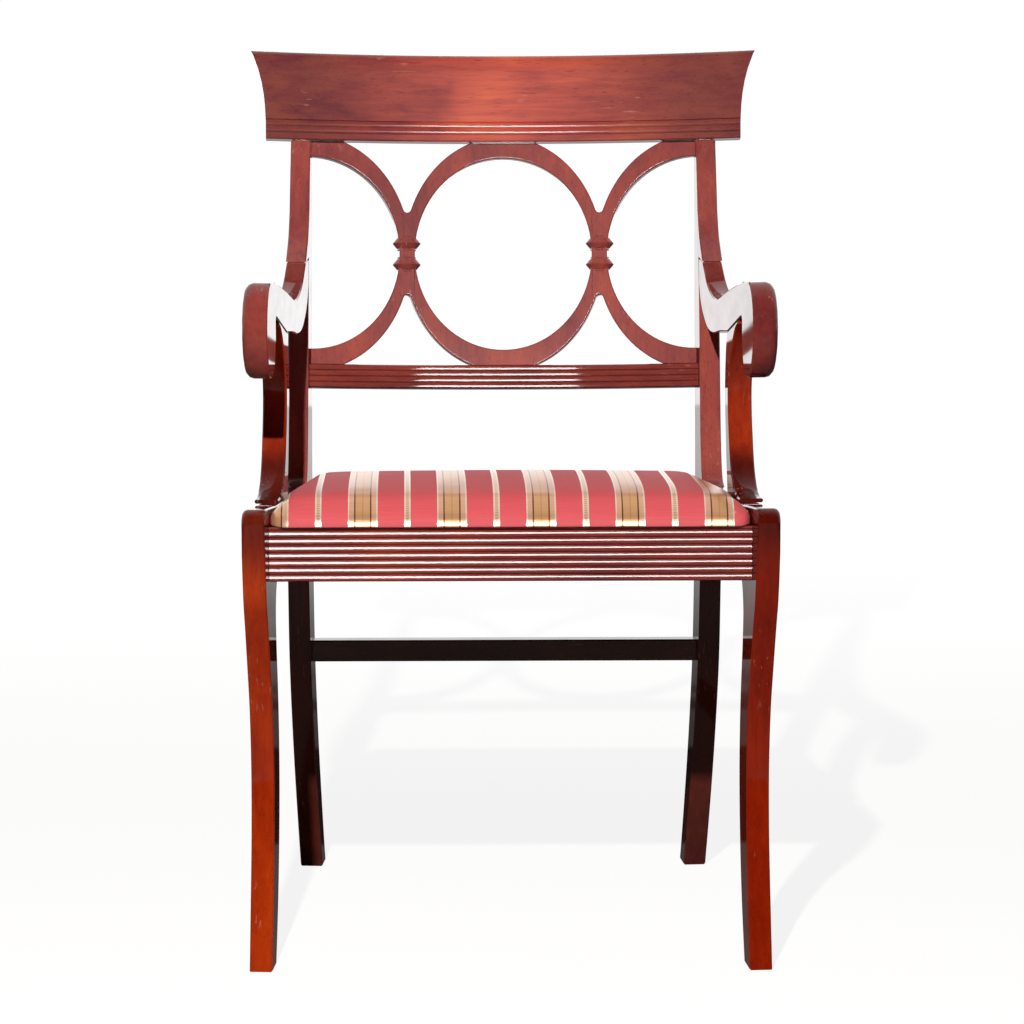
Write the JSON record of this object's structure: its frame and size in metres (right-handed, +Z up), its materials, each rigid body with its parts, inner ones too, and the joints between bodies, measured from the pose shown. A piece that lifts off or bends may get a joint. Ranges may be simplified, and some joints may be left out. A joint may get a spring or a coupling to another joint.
{
  "type": "klismos armchair",
  "caption": "Wooden klismos armchair with sabre legs, scroll arms, a pierced oval back under a flared crest rail, and a drop-in upholstered seat.",
  "frame": {"origin": "middle of the footprint on the floor", "axes": "+Z up, -Y towards the front of the chair, +X to the right of someone looking at its front"},
  "size_m": [0.537, 0.5448, 0.8862],
  "materials": {
    "mahogany": "glossy red-brown lacquer",
    "beech": "unfinished, hidden",
    "screw_steel": "plain",
    "striped_cover": "satin weave, crimson with gold stripes",
    "foam": "open-cell foam",
    "jute_webbing": "woven jute",
    "black_cambric": "thin black cloth"
  },
  "bodies": {
    "frame": {"crest_rail": "mahogany", "front_left_corner_block": "beech", "front_left_corner_block_rail_screw": "screw_steel", "front_left_corner_block_side_screw": "screw_steel", "front_right_corner_block": "beech", "front_right_corner_block_rail_screw": "screw_steel", "front_right_corner_block_side_screw": "screw_steel", "front_seat_rail": "mahogany", "left_arm": "mahogany", "left_arm_end_dowel": "beech", "left_arm_support": "mahogany", "left_back_post": "mahogany", "left_back_splat": "mahogany", "left_front_leg": "mahogany", "left_side_rail": "mahogany", "left_support_foot_dowel": "beech", "left_support_top_dowel": "beech", "lower_back_rail": "mahogany", "rear_left_corner_block": "beech", "rear_left_corner_block_rail_screw": "screw_steel", "rear_left_corner_block_side_screw": "screw_steel", "rear_right_corner_block": "beech", "rear_right_corner_block_rail_screw": "screw_steel", "rear_right_corner_block_side_screw": "screw_steel", "rear_seat_rail": "mahogany", "rear_stretcher": "mahogany", "right_arm": "mahogany", "right_arm_end_dowel": "beech", "right_arm_support": "mahogany", "right_back_post": "mahogany", "right_back_splat": "mahogany", "right_front_leg": "mahogany", "right_side_rail": "mahogany", "right_support_foot_dowel": "beech", "right_support_top_dowel": "beech"},
    "seat": {"seat_cover": "striped_cover", "seat_dust_cover": "black_cambric", "seat_foam": "foam", "seat_frame_front_member": "beech", "seat_frame_left_member": "beech", "seat_frame_rear_member": "beech", "seat_frame_right_member": "beech", "seat_webbing_cross_1": "jute_webbing", "seat_webbing_cross_2": "jute_webbing", "seat_webbing_cross_3": "jute_webbing", "seat_webbing_long_1": "jute_webbing", "seat_webbing_long_2": "jute_webbing", "seat_webbing_long_3": "jute_webbing"}
  },
  "joints": [
    {"name": "seat_lift", "type": "slide", "parent": "frame", "child": "seat", "axis": [0, 0, 1], "range_m": [0, 0.25]}
  ]
}
